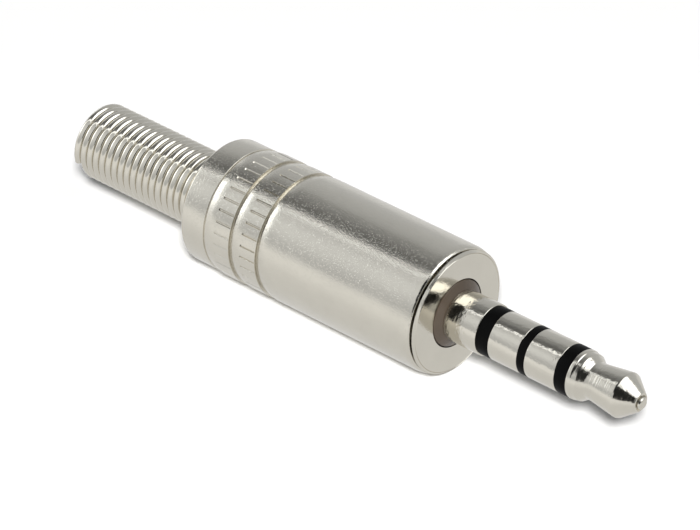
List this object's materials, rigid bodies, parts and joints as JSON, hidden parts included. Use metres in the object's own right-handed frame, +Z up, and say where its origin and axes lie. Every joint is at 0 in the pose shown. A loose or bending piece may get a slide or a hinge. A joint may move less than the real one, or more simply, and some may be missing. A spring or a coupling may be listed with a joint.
{
  "type": "audio jack connector",
  "caption": "Four-pole 3.5 mm audio plug with a round screw-on metal shell, two bands of short engraved lines and a close-wound spring cable guard.",
  "frame": {"origin": "middle of the front flange's face, on the plug's axis", "axes": "+X along the pin towards its tip, +Z up as the plug lies on its shell"},
  "size_m": [0.0485, 0.0092, 0.0092],
  "materials": {
    "satin_nickel": "nickel plate with a fine satin grain along the shell",
    "bright_wire": "bright drawn wire",
    "polished_nickel": "polished nickel plate",
    "dark_moulding": "dark brown moulded plastic",
    "black_moulding": "glossy black moulded plastic",
    "pale_washer": "pale stamped plastic",
    "tinned_sheet": "tinned stamped sheet",
    "clear_sleeving": "milky soft tube"
  },
  "bodies": {
    "plug": {"plug_body": "polished_nickel", "shoulder_bushing": "dark_moulding", "sleeve_contact": "polished_nickel", "sleeve_insulator": "black_moulding", "ring2_contact": "polished_nickel", "ring2_insulator": "black_moulding", "ring1_contact": "polished_nickel", "ring1_insulator": "black_moulding", "tip_contact": "polished_nickel", "centre_rod": "polished_nickel", "cable_clamp": "tinned_sheet", "sleeve_washer": "pale_washer", "ring2_lug": "tinned_sheet", "ring2_washer": "pale_washer", "ring1_lug": "tinned_sheet", "ring1_washer": "pale_washer", "tip_lug": "tinned_sheet"},
    "inner_sleeve": {"insulating_tube": "clear_sleeving"},
    "cable_guard": {"strain_relief_spring": "bright_wire"},
    "shell": {"shell": "satin_nickel"}
  },
  "joints": [
    {"name": "shell_draw", "type": "slide", "parent": "plug", "child": "inner_sleeve", "axis": [-1, 0, 0], "range_m": [0, 0.02]},
    {"name": "shell_travel", "type": "slide", "parent": "inner_sleeve", "child": "cable_guard", "axis": [-1, 0, 0], "range_m": [0, 0.00451]},
    {"name": "shell_turn", "type": "hinge", "parent": "cable_guard", "child": "shell", "pos_m": [0, 0, 0], "axis": [-1, 0, 0], "range_deg": [0, 3240]}
  ],
  "couplings": [
    {"joint": "shell_travel", "follows": "shell_turn", "m_per_rad": 0.000079577}
  ]
}
